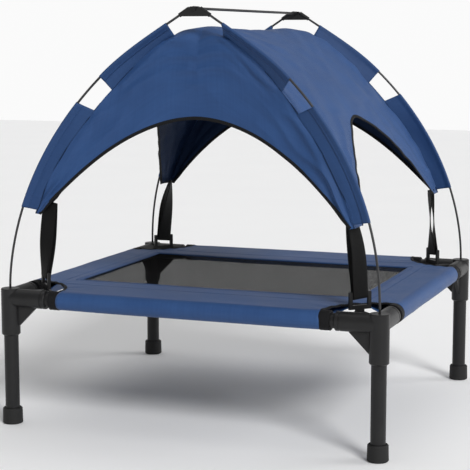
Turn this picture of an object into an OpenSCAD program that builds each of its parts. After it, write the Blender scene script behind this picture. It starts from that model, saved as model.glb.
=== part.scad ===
// Elevated pet bed on a tube frame, with a domed fabric canopy hung from two leaning pole arches.
// Millimetres. X runs left to right, Y front to back, Z up; the origin is on the floor
// under the middle of the bed.

/* [Frame] */
// Distance between the left and right leg axes
frame_w = 580; // [540:1:620]
// Distance between the front and back leg axes
frame_d = 530; // [490:1:560]
// Height of the flat tops of the corner connectors
deck_h = 210; // [190:1:230]
// Outer diameter of the legs and rails
tube_od = 22; // [20:0.5:24]
// Wall thickness of the legs and rails
tube_wall = 1.2; // [0.8:0.1:2]

/* [Corner connectors] */
// Outer diameter of the upright leg socket
socket_od = 28.5; // [27:0.5:31]
// Height of the leg socket
socket_h = 72; // [66:1:80]
// Outer diameter of the two rail arms
arm_od = 28; // [27:0.5:30]
// Length of each rail arm, from the leg axis to its mouth
arm_len = 63; // [56:1:68]
// Size of the triangular webs under the arms, beyond the socket
web_size = 29; // [20:1:30]
// Thickness of those webs
web_t = 5; // [3:0.5:8]

/* [Feet] */
// Outer diameter of a foot cap
foot_od = 31; // [28:0.5:34]
// Height of a foot cap
foot_h = 24.5; // [18:0.5:32]
// Thickness of the rubber under the leg
foot_floor = 3; // [2:0.5:5]

/* [Mat] */
// Radius of the round notch cut out of each mat corner, to where its binding starts
notch_r = 85; // [82:1:92]
// Outer radius of the sleeves that wrap the rails
sleeve_r = 14; // [13.5:0.1:15]
// Half width of the opening for the mesh panel
mesh_half_w = 226; // [200:1:240]
// Half depth of the opening for the mesh panel
mesh_half_d = 150; // [120:1:180]
// Depth of the pocket seam behind the front and back rails
pocket_x_rail = 72; // [50:1:90]
// Depth of the pocket seam beside the left and right rails
pocket_y_rail = 42; // [30:1:50]

/* [Canopy poles] */
// Diameter of the flexible poles
pole_d = 3.5; // [3:0.1:4]
// Depth of the pole holes in the connectors
pole_hole_depth = 35; // [25:1:36]
// Distance from the middle of the bed to each apex hub
hub_y = 228.3; // [220:0.1:236]
// Angle below horizontal at which poles leave a hub
hub_angle = 33; // [28:1:38]
// Height of the top of the canopy
canopy_top = 632.5; // [620:0.5:640]
// Diameter of the bar that joins the two hubs
bar_d = 4; // [3:0.5:5]

/* [Canopy fabric] */
// Thickness of the dome fabric
cover_t = 1.2; // [0.8:0.1:1.6]
// Height of the lowest point of the dome, at its corners
tip_h = 325; // [315:1:335]
// Height of the front and back arches at their middle
front_arch_h = 470; // [460:1:490]
// Height of the side arches at their middle
side_arch_h = 466; // [450:1:480]
// Radius of the binding along the arches
binding_r = 2.2; // [1.5:0.1:3]
// Thickness of the fins between the dome and the poles
fin_t = 0.8; // [0.6:0.1:1.2]

/* [Straps and hooks] */
// Width of the webbing straps
strap_w = 24; // [18:1:26]
// Thickness of the webbing
strap_t = 1.4; // [1:0.1:2]
// Distance from each leg axis, in X and in Y, to the hook's pin
hook_in = 40; // [38:1:44]
// Outer width of the hook frame
hook_w = 35; // [32:1:38]
// Diameter of the hook's pin
hook_pin_d = 5; // [4:0.5:6]

/* [Hidden] */

$fn = 64;
half_w = frame_w / 2;
half_d = frame_d / 2;
tube_r = tube_od / 2;
fit_gap = 0.05;                        // radial gap of every push fit
arm_drop = 0.6;                        // how far the arms lie below the flat socket tops
rail_z = deck_h - arm_drop - arm_od / 2;  // height of the rail axes
socket_bottom = deck_h - socket_h;
leg_top = rail_z - arm_od / 2 - 10;    // where the leg tube stops inside its socket
rail_stop = 18;                        // where a rail stops, from the leg axis
pole_floor = deck_h - pole_hole_depth;
pole_r = pole_d / 2;
pole_clear = 0.1;                      // radial gap of the pins that lift out

black = [0.13, 0.13, 0.14];
dark_rubber = [0.08, 0.08, 0.08];
blue = [0.19, 0.30, 0.49];
web_black = [0.10, 0.10, 0.10];
eps = 0.01;

// ---- curves of the canopy -------------------------------------------------------------

function bezier(p, t) = let (s = 1 - t)
    s*s*s*p[0] + 3*s*s*t*p[1] + 3*s*t*t*p[2] + t*t*t*p[3];

// Value of t at which f(t) falls or rises through a target, by halving
function solve(f, target, lo, hi, n = 24) = let (mid = (lo + hi) / 2)
    n == 0 ? mid
    : (f(mid) > target) == (f(hi) > target) ? solve(f, target, lo, mid, n - 1)
    : solve(f, target, mid, hi, n - 1);

function clamp01(v) = max(0, min(1, v));
function unit(v) = v / norm(v);

// Half a pole arch seen from the front: up from the connector, then over to the hub
shoulder = [138, 539];
hub_pull = 45;           // how strongly the hub's angle bends the pole
hub_half_w = 22;
hub_mouth = [hub_half_w, canopy_top - 12];
pole_low = [[half_w, deck_h], [half_w, deck_h + 124], [232, 452], shoulder];
pole_high = [shoulder, [105, 569.5], hub_mouth + hub_pull * [cos(hub_angle), -sin(hub_angle)], hub_mouth];
function pole_xz(u) = u < 1 ? bezier(pole_low, u) : bezier(pole_high, u - 1);

// The arches lean towards each other: depth of the arch plane at a height
lean_run = 30;           // height over which the lean sets in above the connectors
function lean_of(z) = sqrt(pow(z - deck_h, 2) + lean_run * lean_run) - lean_run;
function arch_y(z) = half_d - (half_d - hub_y) * lean_of(z) / lean_of(hub_mouth[1]);
function pole_pt(u) = let (p = pole_xz(u)) [p[0], arch_y(p[1]), p[1]];
hub_dir = unit(pole_pt(2) - pole_pt(1.999));

// Seam between the dome's end wall and its vault, from the ridge down to the corner tip
ridge_h = 600;
tip_x = 250;
seam_line = [[0, ridge_h], [71, ridge_h], [216, 434], [tip_x, tip_h]];
seam_low_inset = 1;      // how far inside the arches' plane the seam lies, low down
seam_top_inset = 13;     // and at the roof
inset_z = [420, 530];    // heights between which the inset grows
function seam_y(z) = let (share = clamp01((z - inset_z[0]) / (inset_z[1] - inset_z[0])))
    arch_y(z) - seam_low_inset - (seam_top_inset - seam_low_inset) * share;

// ---- solids from grids of points ------------------------------------------------------

function grid_normal(g, i, j) =
    let (a = g[min(i + 1, len(g) - 1)][j] - g[max(i - 1, 0)][j],
         b = g[i][min(j + 1, len(g[0]) - 1)] - g[i][max(j - 1, 0)])
    unit(cross(a, b));

// Closed sheet of thickness t on the grid: the grid is one face, the other lies along
// its normals
module sheet(g, t) {
    rows = len(g);
    cols = len(g[0]);
    total = rows * cols;
    function at(i, j, side) = side * total + i * cols + j;
    pts = concat(
        [for (i = [0 : rows - 1]) for (j = [0 : cols - 1]) g[i][j]],
        [for (i = [0 : rows - 1]) for (j = [0 : cols - 1]) g[i][j] - t * grid_normal(g, i, j)]);
    top = [for (i = [0 : rows - 2]) for (j = [0 : cols - 2])
        each [[at(i, j, 0), at(i + 1, j + 1, 0), at(i + 1, j, 0)],
              [at(i, j, 0), at(i, j + 1, 0), at(i + 1, j + 1, 0)]]];
    bottom = [for (f = top) [f[0] + total, f[2] + total, f[1] + total]];
    ends = [for (j = [0 : cols - 2])
        each [[at(0, j, 0), at(0, j + 1, 1), at(0, j + 1, 0)],
              [at(0, j, 0), at(0, j, 1), at(0, j + 1, 1)],
              [at(rows - 1, j, 0), at(rows - 1, j + 1, 0), at(rows - 1, j + 1, 1)],
              [at(rows - 1, j, 0), at(rows - 1, j + 1, 1), at(rows - 1, j, 1)]]];
    sides = [for (i = [0 : rows - 2])
        each [[at(i, 0, 0), at(i + 1, 0, 0), at(i + 1, 0, 1)],
              [at(i, 0, 0), at(i + 1, 0, 1), at(i, 0, 1)],
              [at(i, cols - 1, 0), at(i + 1, cols - 1, 1), at(i + 1, cols - 1, 0)],
              [at(i, cols - 1, 0), at(i, cols - 1, 1), at(i + 1, cols - 1, 1)]]];
    polyhedron(pts, concat(top, bottom, ends, sides), convexity = 8);
}

// Round rod of radius r swept along a list of points near the plane across axis, with
// flat ends
module rod(path, r, n = 8, axis = [0, 1, 0]) {
    last = len(path) - 1;
    function tangent(i) = unit(path[min(i + 1, last)] - path[max(i - 1, 0)]);
    function side(i) = unit(cross(tangent(i), axis));
    pts = [for (i = [0 : last]) let (a = side(i), b = cross(tangent(i), a))
        for (k = [0 : n - 1]) path[i] + r * (cos(360 * k / n) * a + sin(360 * k / n) * b)];
    walls = [for (i = [0 : last - 1]) for (k = [0 : n - 1]) let (m = (k + 1) % n)
        each [[i*n + k, (i + 1)*n + k, (i + 1)*n + m], [i*n + k, (i + 1)*n + m, i*n + m]]];
    caps = [[for (k = [0 : n - 1]) k], [for (k = [n - 1 : -1 : 0]) last * n + k]];
    polyhedron(pts, concat(walls, caps), convexity = 6);
}

// Puts children, drawn along +Z from the origin, at p and along d
module along(p, d) {
    translate(p) rotate([0, acos(d[2] / norm(d)), atan2(d[1], d[0])]) children();
}

// Puts children, drawn for the back right quarter about the middle, in quarter (sx, sy)
module quarter(sx, sy) {
    mirror([sx < 0 ? 1 : 0, 0, 0]) mirror([0, sy < 0 ? 1 : 0, 0]) children();
}

// Puts children, drawn with the leg axis at the origin and the bed towards +X and +Y,
// at corner (sx, sy)
module corner(sx, sy) {
    translate([sx * half_w, sy * half_d, 0])
        mirror([sx > 0 ? 1 : 0, 0, 0]) mirror([0, sy > 0 ? 1 : 0, 0]) children();
}

// ---- bed frame ------------------------------------------------------------------------

module hollow_tube(length) {
    difference() {
        cylinder(h = length, r = tube_r);
        translate([0, 0, -eps]) cylinder(h = length + 2*eps, r = tube_r - tube_wall);
    }
}

module leg_tube() {
    color(black) translate([0, 0, foot_floor]) hollow_tube(leg_top - foot_floor);
}

module foot_cap() {
    r = foot_od / 2;
    bore = tube_r + fit_gap;
    edge = 1.5;
    taper = 0.5;
    color(dark_rubber) rotate_extrude() polygon([
        [0, 0], [r - edge, 0], [r, edge], [r - taper, foot_h - edge],
        [r - taper - edge, foot_h], [bore + edge, foot_h], [bore, foot_h - edge],
        [bore, foot_floor], [0, foot_floor]]);
}

// Rail arm along +Z, with a groove and a chamfered collar at its mouth
arm_start = 2;           // inside the socket, beside the leg axis
collar_w = 5.4;
groove = [0.9, 2.6];     // depth and width
module arm_blank() {
    r = arm_od / 2;
    neck = arm_len - collar_w;
    slope = groove[0] / 2;
    chamfer = 1.2;
    rotate_extrude() polygon([
        [0, arm_start], [r, arm_start], [r, neck - groove[1]],
        [r - groove[0], neck - groove[1] + slope], [r - groove[0], neck - slope],
        [r, neck], [r, arm_len - chamfer], [r - chamfer, arm_len], [0, arm_len]]);
}

// Triangular web between the socket and an arm; its ends are sunk into both
web_sink = 2;
web_lip = 0.6;
module web_under_arm() {
    inner = socket_od / 2 - web_sink;
    outer = socket_od / 2;
    arm_bottom = rail_z - arm_od / 2;
    reach = outer + web_size;
    foot = arm_bottom - web_lip - web_size;
    rotate([90, 0, 0]) translate([0, 0, -web_t / 2]) linear_extrude(web_t) polygon([
        [inner, arm_bottom + web_sink], [reach, arm_bottom + web_sink],
        [reach, arm_bottom - web_lip], [outer, foot], [inner, foot]]);
}

// Flat tab in the inner angle of the connector, where the hook's pin plugs in
tab_top = deck_h - 7;
tab_t = 6;
tab_half_w = 7.5;
tab_corner = 4;
module hook_tab() {
    reach = hook_in * sqrt(2) + tab_half_w;
    translate([0, 0, tab_top - tab_t]) rotate([0, 0, 45]) linear_extrude(tab_t) polygon([
        [tab_half_w, -tab_half_w], [reach - tab_corner, -tab_half_w],
        [reach, tab_corner - tab_half_w], [reach, tab_half_w - tab_corner],
        [reach - tab_corner, tab_half_w], [tab_half_w, tab_half_w]]);
}

module corner_connector() {
    r = socket_od / 2;
    bore = tube_r + fit_gap;
    low_edge = 2;
    top_edge = 0.8;
    color(black) difference() {
        union() {
            rotate_extrude() polygon([
                [0, socket_bottom], [r - low_edge, socket_bottom], [r, socket_bottom + low_edge],
                [r, deck_h - top_edge], [r - top_edge, deck_h], [0, deck_h]]);
            translate([0, 0, rail_z]) rotate([0, 90, 0]) arm_blank();
            translate([0, 0, rail_z]) rotate([-90, 0, 0]) arm_blank();
            web_under_arm();
            rotate([0, 0, 90]) web_under_arm();
            hook_tab();
        }
        translate([0, 0, socket_bottom - eps]) cylinder(h = leg_top - socket_bottom + eps, r = bore);
        translate([rail_stop, 0, rail_z]) rotate([0, 90, 0]) cylinder(h = arm_len, r = bore);
        translate([0, rail_stop, rail_z]) rotate([-90, 0, 0]) cylinder(h = arm_len, r = bore);
        translate([0, 0, pole_floor]) cylinder(h = pole_hole_depth + eps, r = pole_r + pole_clear);
        translate([hook_in, hook_in, tab_top - tab_t - eps])
            cylinder(h = tab_t + 2*eps, r = hook_pin_d / 2 + pole_clear);
    }
}

module long_rail(sy) {
    length = frame_w - 2 * rail_stop;
    color(black) translate([-length / 2, sy * half_d, rail_z])
        rotate([0, 90, 0]) hollow_tube(length);
}

module short_rail(sx) {
    length = frame_d - 2 * rail_stop;
    color(black) translate([sx * half_w, -length / 2, rail_z])
        rotate([-90, 0, 0]) hollow_tube(length);
}

// ---- mat ------------------------------------------------------------------------------

border_t = 1.6;
sleeve_drop = 0.2;       // how far the mat lies below the top of its sleeves
sleeve_short = 60;       // how far each sleeve stops short of the leg axes
pocket_end = 14;         // width of the closed stretch at a sleeve's seam
sleeve_gap = 0.1;        // between a rail and its sleeve
mat_top = rail_z + sleeve_r - sleeve_drop;
mesh_t = 1.2;
mesh_lap = 12;

// Section of a sleeve about the rail axis: fabric goes over the rail, just below the
// mat's top, and comes back from underneath to a seam at distance depth
module sleeve_section(r, top, depth, seam_z) {
    far = norm([depth, seam_z]);
    below = atan2(seam_z, depth) - acos(r / far);
    inside = 0.98 * r;
    circle(r);
    polygon([[0, 0], [0, top], [depth, top], [depth, seam_z],
             [inside * cos(below), inside * sin(below)]]);
}

// The outline less the hollow that the rail and the air beside it take up
module sleeve(length, depth) {
    under = sleeve_r - sleeve_drop - border_t;
    skin = 0.5;
    translate([0, 0, -length / 2]) linear_extrude(length) difference() {
        sleeve_section(sleeve_r, under + border_t / 2, depth, under - 2.4 * skin);
        sleeve_section(tube_r + sleeve_gap, under - skin, depth - pocket_end, under - 2 * skin);
    }
}

// Sleeve along X, seam towards +Y, and sleeve along Y, seam towards +X
module x_sleeve(depth) { rotate([90, 0, 90]) sleeve(frame_w - 2 * sleeve_short, depth); }
module y_sleeve(depth) { rotate([90, 0, 0]) sleeve(frame_d - 2 * sleeve_short, depth); }

module notches(r) {
    for (sx = [-1, 1]) for (sy = [-1, 1])
        translate([sx * half_w, sy * half_d, 0]) cylinder(h = 2 * deck_h, r = r);
}

module mat_border() {
    color(blue) difference() {
        union() {
            translate([0, -half_d, rail_z]) x_sleeve(pocket_x_rail);
            translate([0, half_d, rail_z]) mirror([0, 1, 0]) x_sleeve(pocket_x_rail);
            translate([-half_w, 0, rail_z]) y_sleeve(pocket_y_rail);
            translate([half_w, 0, rail_z]) mirror([1, 0, 0]) y_sleeve(pocket_y_rail);
            translate([-half_w, -half_d, mat_top - border_t]) cube([frame_w, frame_d, border_t]);
        }
        notches(notch_r);
        translate([-mesh_half_w, -mesh_half_d, 0]) cube([2*mesh_half_w, 2*mesh_half_d, 2*deck_h]);
    }
}

module mesh_panel() {
    w = mesh_half_w + mesh_lap;
    d = mesh_half_d + mesh_lap;
    color([0.15, 0.15, 0.15]) translate([-w, -d, mat_top - border_t - mesh_t])
        cube([2*w, 2*d, mesh_t]);
}

// Tape that binds a notched corner: an arc across the mat and a ring on each sleeve end
bind_w = 15;
bind_proud = 0.4;
module corner_binding() {
    color(web_black) intersection() {
        difference() {
            cylinder(h = 2 * deck_h, r = notch_r);
            translate([0, 0, -1]) cylinder(h = 2 * deck_h + 2, r = notch_r - bind_w);
        }
        union() {
            translate([0, 0, mat_top - border_t - bind_proud])
                cube([frame_w, frame_d, border_t + 2 * bind_proud]);
            for (swap = [0, 1]) mirror([swap, -swap, 0])
                translate([0, 0, rail_z]) rotate([0, 90, 0]) difference() {
                    cylinder(h = frame_w, r = sleeve_r + bind_proud);
                    translate([0, 0, -1]) cylinder(h = frame_w + 2, r = tube_r + sleeve_gap);
                }
        }
    }
}

// ---- canopy poles ---------------------------------------------------------------------

low_steps = 14;
high_steps = 10;
hub_depth = 13;          // how far a pole goes into its hub
tip_above = 3;           // how far the straight tip stands above the connector
tip_u = solve(function (u) pole_xz(u)[1], deck_h + tip_above, 0, 0.2);

module pole(sx, sy) {
    low = [for (k = [0 : low_steps]) pole_pt(tip_u + (1 - tip_u) * k / low_steps)];
    high = [for (k = [1 : high_steps]) pole_pt(1 + k / high_steps)];
    inside = [pole_pt(2) + hub_dir * hub_depth];
    color(black) quarter(sx, sy) rod(concat(low, high, inside), pole_r);
}

module pole_tip(sx, sy) {
    color(black) translate([sx * half_w, sy * half_d, pole_floor])
        cylinder(h = pole_hole_depth + tip_above, r = pole_r);
}

hub_sleeve_r = 3.2;
hub_sleeve_l = 18;
hub_lip = 2;             // how far the pole sleeves stick out of the hub's plate
hub_plate_t = 5.5;
hub_plate_h = 14.5;
spine_r = 3.3;           // socket for the ridge bar, along the hub's top
spine_z = canopy_top - spine_r;
spine_l = 17;
spine_front = 5;         // how far the spine stands in front of the poles
bar_end = hub_y + 1;
end_gap = 0.2;

// Outline of the plate between the two pole sleeves
module hub_plate() {
    mouth_z = hub_mouth[1];
    base = canopy_top - hub_plate_h;
    half = [[20, base], [24, mouth_z - 1.5], [hub_half_w, mouth_z + 1.5], [6, canopy_top - 0.4]];
    polygon(concat(half, [for (k = [3 : -1 : 0]) [-half[k][0], half[k][1]]]));
}

module apex_hub(sy) {
    mouth = pole_pt(2);
    cut = 6;
    color(black) quarter(1, sy) difference() {
        union() {
            for (sx = [-1, 1]) quarter(sx, 1)
                along(mouth - hub_lip * hub_dir, hub_dir) cylinder(h = hub_sleeve_l, r = hub_sleeve_r);
            translate([0, hub_y + hub_plate_t / 2, 0]) rotate([90, 0, 0])
                linear_extrude(hub_plate_t) hub_plate();
            translate([0, hub_y + spine_front, spine_z]) rotate([90, 0, 0])
                cylinder(h = spine_l, r = spine_r);
        }
        for (sx = [-1, 1]) quarter(sx, 1) along(mouth - cut * hub_dir, hub_dir)
            cylinder(h = cut + hub_depth + 3 * end_gap, r = pole_r + pole_clear);
        translate([0, bar_end, spine_z]) rotate([90, 0, 0])
            cylinder(h = spine_l + cut, r = bar_d / 2 + fit_gap);
    }
}

module ridge_bar() {
    reach = bar_end - end_gap;
    color(black) translate([0, reach, spine_z]) rotate([90, 0, 0])
        cylinder(h = 2 * reach, r = bar_d / 2);
}

// ---- dome -----------------------------------------------------------------------------

vault_steps = 8;
bend_steps = 4;
wall_steps = 5;
half_cols = 18;
side_reach = 0.848;      // share of the half depth that the side arches span
side_curve = 1.65;       // power of the side arches' curve: 2 is a parabola
front_curve = 1.9;       // and of the front and back arches' curve

// How far down the seam line the vault reaches at depth s, where the side arch cuts it
function side_limit(s) = s >= side_reach ? 1
    : let (z = side_arch_h - (side_arch_h - tip_h) * pow(s / side_reach, side_curve))
      solve(function (q) bezier(seam_line, q)[1], z, 0, 1);

// Vault: q runs from the ridge down its side, s from the middle to the seam. It bulges
// outwards between the seams, and its ridge sags between its ends.
vault_bulge = 6;
vault_sag = 6;
function vault_pt(q, s) = let (p = bezier(seam_line, q))
    [p[0] + vault_bulge * (1 - s*s) * sin(180 * q), s * seam_y(p[1]),
     p[1] + vault_sag * s*s * (1 - q)];

// End wall: t runs from the middle to the corner, w from the arch edge to the seam. The
// arch edge is pulled in from the plane of the poles, most in its middle.
arch_half_w = 242;
arch_hollow = 13;
function front_arch_pt(t) =
    let (z = front_arch_h - (front_arch_h - tip_h + 1) * pow(t, front_curve))
    [arch_half_w * t, seam_y(z) - arch_hollow * (1 - pow(t, 4)), z];
function wall_pt(t, w) = (1 - w) * front_arch_pt(t) + w * vault_pt(t, 1);

// The wall turns into the roof in a wide bend in the middle and a crease further out
bend_half_w = 0.22;      // share of the half width where the bend has closed to a crease
crease = 0.04;           // size of the crease as a share of the bend in the middle
roof_bend = 0.24;        // share of the vault's half depth that the bend takes
wall_bend = 0.36;        // share of the wall's height that it takes
function bend_size(t) = max(crease, 1 - t / bend_half_w);
function bend_s(t) = 1 - roof_bend * bend_size(t);
function bend_w(t) = 1 - wall_bend * bend_size(t);
function bend_pt(t, k) = let (m = 1 - k)
    m*m * vault_pt(t, bend_s(t)) + 2*m*k * vault_pt(t, 1) + k*k * wall_pt(t, bend_w(t));

function dome_quarter(r, t) =
    r <= vault_steps
        ? let (s = bend_s(t) * r / vault_steps) vault_pt(t * side_limit(s), s)
    : r <= vault_steps + bend_steps ? bend_pt(t, (r - vault_steps) / bend_steps)
    : wall_pt(t, bend_w(t) * (1 - (r - vault_steps - bend_steps) / wall_steps));

function sign_of(v) = v < 0 ? -1 : 1;
function dome_pt(r, c) = let (p = dome_quarter(abs(r), abs(c) / half_cols))
    [sign_of(c) * p[0], sign_of(r) * p[1], p[2]];

half_rows = vault_steps + bend_steps + wall_steps;
dome_grid = [for (r = [-half_rows : half_rows]) [for (c = [-half_cols : half_cols]) dome_pt(r, c)]];

module canopy_cover() {
    color(blue) sheet([for (row = dome_grid) [for (k = [len(row) - 1 : -1 : 0]) row[k]]], cover_t);
}

// A line of the dome's edge, moved straight out from the line next to it so that a
// binding along it clears the fabric
binding_gap = 0.1;
function off_edge(edge, next) = [for (k = [0 : len(edge) - 1]) let (
        t = unit(edge[min(k + 1, len(edge) - 1)] - edge[max(k - 1, 0)]),
        d = edge[k] - next[k])
    edge[k] + (binding_r + binding_gap) * unit(d - (d * t) * t)];

module arch_binding_end(sy) {
    edge = dome_grid[sy < 0 ? 0 : 2 * half_rows];
    next = dome_grid[sy < 0 ? 1 : 2 * half_rows - 1];
    color(web_black) rod(off_edge(edge, next), binding_r, 6);
}

skipped_rows = 1;        // rows near the corner tips that the side bindings don't reach
module arch_binding_side(sx) {
    c = sx < 0 ? 0 : 2 * half_cols;
    first = bend_steps + wall_steps + skipped_rows;
    rows = [first : 2 * half_rows - first];
    edge = [for (r = rows) dome_grid[r][c]];
    next = [for (r = rows) dome_grid[r][c - sx]];
    color(web_black) rod(off_edge(edge, next), binding_r, 6, [1, 0, 0]);
}

// ---- fins -----------------------------------------------------------------------------

fin_steps = 9;
fin_gap = 1.6;           // between a fin and the dome's seam
wrap_r = pole_r + fin_t + 0.3;
lap_out = 2;             // where the wrap meets the fin, outside the wrap
lap_side = 0.9;          // and beside its middle, so that the two layers clear each other
wrap_angles = [40, 80, 120, 160, 200, 240, 280, 320];
upper_fin_z = [[607, 530], [590, 511]];    // heights on the pole, then on the seam
lower_fin_z = [[491.5, 334], [480.5, 330]];

function pole_at(z) = pole_pt(solve(function (u) pole_xz(u)[1], z, 0, 2));
function seam_at(z) = vault_pt(solve(function (q) vault_pt(q, 1)[2], z, 0, 1), 1);

// One line of fabric across a fin: from the seam out to the pole, then round the pole
function fin_line(pole_z, seam_z) = let (
        p = pole_at(pole_z),
        along_pole = unit(pole_at(pole_z - 1) - p),
        raw = seam_at(seam_z) - p,
        a = unit(raw - (raw * along_pole) * along_pole),
        b = unit(cross(along_pole, a)),
        start = p + raw * (1 - fin_gap / norm(raw)),
        lap = p + (wrap_r + lap_out) * a + lap_side * b)
    concat([start, (start + lap) / 2, lap],
           [for (g = wrap_angles) p + wrap_r * (cos(g) * a + sin(g) * b)]);

function fin_grid(zs) = [for (k = [0 : fin_steps]) let (f = k / fin_steps)
    fin_line(zs[0][0] + f * (zs[0][1] - zs[0][0]), zs[1][0] + f * (zs[1][1] - zs[1][0]))];

module upper_fin(sx, sy) { color(blue) quarter(sx, sy) sheet(fin_grid(upper_fin_z), fin_t); }
module lower_fin(sx, sy) { color(blue) quarter(sx, sy) sheet(fin_grid(lower_fin_z), fin_t); }

// ---- straps and hooks -----------------------------------------------------------------

bar_r = 2;
strap_bar_z = deck_h + 15;
strap_top = [half_w - 43, half_d - 25, tip_h - 2.5];
strap_gap = 0.9;         // half the gap between the two layers at the top
strap_bulge = 4.5;       // how far each layer bulges half way
loop_room = 1.9;         // room round the hook's bar
hook_t = 4.4;
hook_arm = 5;
hook_base_z = tab_top + 3.5;
hook_top_z = strap_bar_z + 4.5;

// Inner half width of the closed webbing loop in side view, at a share of its height
function loop_side(s) =
    strap_gap + (bar_r + loop_room - strap_gap) * pow(1 - s, 6) + strap_bulge * sin(180 * s);

// Outline of the loop, grown by t; its foot is a circle round the origin
module loop_outline(length, t) {
    steps = 16;
    half = [for (k = [0 : steps]) [loop_side(k / steps) + t, length * k / steps]];
    polygon(concat(half, [for (k = [steps : -1 : 0]) [-half[k][0], half[k][1]]]));
    circle(bar_r + loop_room + t);
}

module strap_loop(length) {
    linear_extrude(strap_w, center = true) difference() {
        loop_outline(length, strap_t);
        loop_outline(length - strap_t, 0);
    }
}

// Strap from the hook's bar up to the corner tip of the dome
module strap(sx, sy) {
    foot = [half_w - hook_in, half_d - hook_in, strap_bar_z];
    v = unit(strap_top - foot);
    flat = unit(cross([1, 1, 0], v));
    out = cross(v, flat);
    color(web_black) quarter(sx, sy) multmatrix([
        [out[0], v[0], flat[0], foot[0]],
        [out[1], v[1], flat[1], foot[1]],
        [out[2], v[2], flat[2], foot[2]],
        [0, 0, 0, 1]]) strap_loop(norm(strap_top - foot));
}

// Ladder-shaped hook: two arms with round tops, a bar for the strap, a foot and a pin
foot_bar_h = 6;
stub_w = 13;
module hook_plate() {
    half = hook_w / 2;
    window = half - hook_arm;
    difference() {
        translate([-half, hook_base_z]) square([hook_w, hook_top_z - hook_base_z]);
        translate([-window, hook_base_z + foot_bar_h]) square([2 * window, hook_top_z]);
    }
}

module strap_hook() {
    half = hook_w / 2;
    sink = 1;
    color(web_black) translate([hook_in, hook_in, 0]) rotate([0, 0, -45]) {
        rotate([90, 0, 0]) translate([0, 0, -hook_t / 2]) linear_extrude(hook_t) hook_plate();
        translate([sink - half, 0, strap_bar_z]) rotate([0, 90, 0])
            cylinder(h = hook_w - 2 * sink, r = bar_r);
        for (s = [-1, 1]) translate([s * (half - hook_arm / 2) - hook_arm / 2, 0, hook_top_z])
            rotate([0, 90, 0]) cylinder(h = hook_arm, r = hook_t / 2);
        translate([-stub_w / 2, -hook_t / 2, tab_top])
            cube([stub_w, hook_t, hook_base_z - tab_top + sink]);
        translate([0, 0, tab_top - tab_t - sink])
            cylinder(h = tab_t + sink + 2, r = hook_pin_d / 2);
    }
}

// ---- nodes ----------------------------------------------------------------------------

corner(-1, -1) leg_tube();  // leg_tube_fl
corner(1, -1) leg_tube();  // leg_tube_fr
corner(-1, 1) leg_tube();  // leg_tube_bl
corner(1, 1) leg_tube();  // leg_tube_br
corner(-1, -1) foot_cap();  // foot_cap_fl
corner(1, -1) foot_cap();  // foot_cap_fr
corner(-1, 1) foot_cap();  // foot_cap_bl
corner(1, 1) foot_cap();  // foot_cap_br
corner(-1, -1) corner_connector();  // corner_connector_fl
corner(1, -1) corner_connector();  // corner_connector_fr
corner(-1, 1) corner_connector();  // corner_connector_bl
corner(1, 1) corner_connector();  // corner_connector_br
long_rail(-1);  // long_rail_front
long_rail(1);  // long_rail_back
short_rail(-1);  // short_rail_left
short_rail(1);  // short_rail_right
mat_border();
mesh_panel();
corner(-1, -1) corner_binding();  // corner_binding_fl
corner(1, -1) corner_binding();  // corner_binding_fr
corner(-1, 1) corner_binding();  // corner_binding_bl
corner(1, 1) corner_binding();  // corner_binding_br
pole(-1, -1);  // pole_fl
pole(1, -1);  // pole_fr
pole(-1, 1);  // pole_bl
pole(1, 1);  // pole_br
pole_tip(-1, -1);  // pole_tip_fl
pole_tip(1, -1);  // pole_tip_fr
pole_tip(-1, 1);  // pole_tip_bl
pole_tip(1, 1);  // pole_tip_br
apex_hub(-1);  // apex_hub_front
apex_hub(1);  // apex_hub_back
ridge_bar();
canopy_cover();
upper_fin(-1, -1);  // upper_fin_fl
upper_fin(1, -1);  // upper_fin_fr
upper_fin(-1, 1);  // upper_fin_bl
upper_fin(1, 1);  // upper_fin_br
lower_fin(-1, -1);  // lower_fin_fl
lower_fin(1, -1);  // lower_fin_fr
lower_fin(-1, 1);  // lower_fin_bl
lower_fin(1, 1);  // lower_fin_br
arch_binding_end(-1);  // arch_binding_front
arch_binding_end(1);  // arch_binding_back
arch_binding_side(-1);  // arch_binding_left
arch_binding_side(1);  // arch_binding_right
strap(-1, -1);  // strap_fl
strap(1, -1);  // strap_fr
strap(-1, 1);  // strap_bl
strap(1, 1);  // strap_br
corner(-1, -1) strap_hook();  // strap_hook_fl
corner(1, -1) strap_hook();  // strap_hook_fr
corner(-1, 1) strap_hook();  // strap_hook_bl
corner(1, 1) strap_hook();  // strap_hook_br
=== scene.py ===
"""Raised pet bed with a domed canopy: fabric, webbing, finishes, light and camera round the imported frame.

Everything is in metres, in the frame's own axes: X to the right, Y to the back, Z up, with the
origin on the floor under the middle of the bed.
"""

import math

import bmesh
import bpy
import numpy as np
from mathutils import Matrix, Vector, noise


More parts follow.
